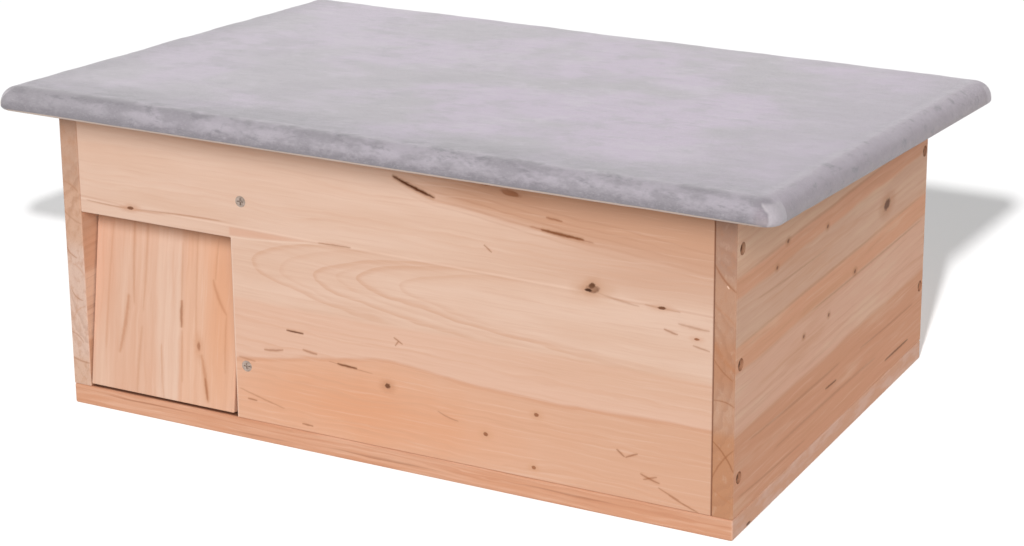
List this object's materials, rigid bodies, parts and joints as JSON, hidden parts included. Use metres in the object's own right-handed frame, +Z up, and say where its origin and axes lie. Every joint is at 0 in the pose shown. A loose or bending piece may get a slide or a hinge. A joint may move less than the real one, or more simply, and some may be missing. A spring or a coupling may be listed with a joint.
{
  "type": "hedgehog house",
  "caption": "Wooden hedgehog house with a sloping felt-covered roof that lifts open, a swinging entrance flap at the left of the front and an inner partition with a doorway.",
  "frame": {"origin": "on the ground, under the middle of the roof", "axes": "+X to the right as seen from the front, +Y from the front to the back, +Z up"},
  "size_m": [0.556, 0.4029, 0.2267],
  "materials": {
    "softwood_front": "planed untreated softwood, pale",
    "softwood_side": "planed untreated softwood, banded tan and reddish brown",
    "softwood_base": "planed untreated softwood, greyish pink",
    "softwood_flap": "planed untreated softwood, peach",
    "grey_felt": "mottled grey roofing felt, matt",
    "screw_steel": "zinc-plated steel",
    "hinge_steel": "zinc-plated steel"
  },
  "bodies": {
    "house": {"floor_board": "softwood_base", "front_panel": "softwood_front", "back_panel": "softwood_front", "left_side_panel": "softwood_side", "right_side_panel": "softwood_side", "partition": "softwood_front", "left_side_screws": "screw_steel", "right_side_screws": "screw_steel", "partition_front_screws": "screw_steel", "partition_back_screw": "screw_steel", "floor_screws": "screw_steel", "flap_hinge_left_fixed_leaf": "hinge_steel", "flap_hinge_right_fixed_leaf": "hinge_steel", "flap_hinge_left_pin": "hinge_steel", "flap_hinge_right_pin": "hinge_steel", "flap_hinge_fixed_screws": "screw_steel", "roof_hinge_left_fixed_leaf": "hinge_steel", "roof_hinge_right_fixed_leaf": "hinge_steel", "roof_hinge_left_pin": "hinge_steel", "roof_hinge_right_pin": "hinge_steel", "roof_hinge_fixed_screws": "screw_steel"},
    "flap": {"entrance_flap": "softwood_flap", "flap_hinge_left_moving_leaf": "hinge_steel", "flap_hinge_right_moving_leaf": "hinge_steel", "flap_hinge_moving_screws": "screw_steel"},
    "roof": {"roof_board": "softwood_front", "roof_felt": "grey_felt", "felt_staples": "screw_steel", "roof_hinge_left_moving_leaf": "hinge_steel", "roof_hinge_right_moving_leaf": "hinge_steel", "roof_hinge_moving_screws": "screw_steel"}
  },
  "joints": [
    {"name": "flap_swing", "type": "hinge", "parent": "house", "child": "flap", "pos_m": [0, -0.16074, 0.149], "axis": [1, 0, 0], "range_deg": [-23, 105]},
    {"name": "roof_lift", "type": "hinge", "parent": "house", "child": "roof", "pos_m": [0, 0.16306, 0.18508], "axis": [-1, 0, 0], "range_deg": [0, 93]}
  ]
}
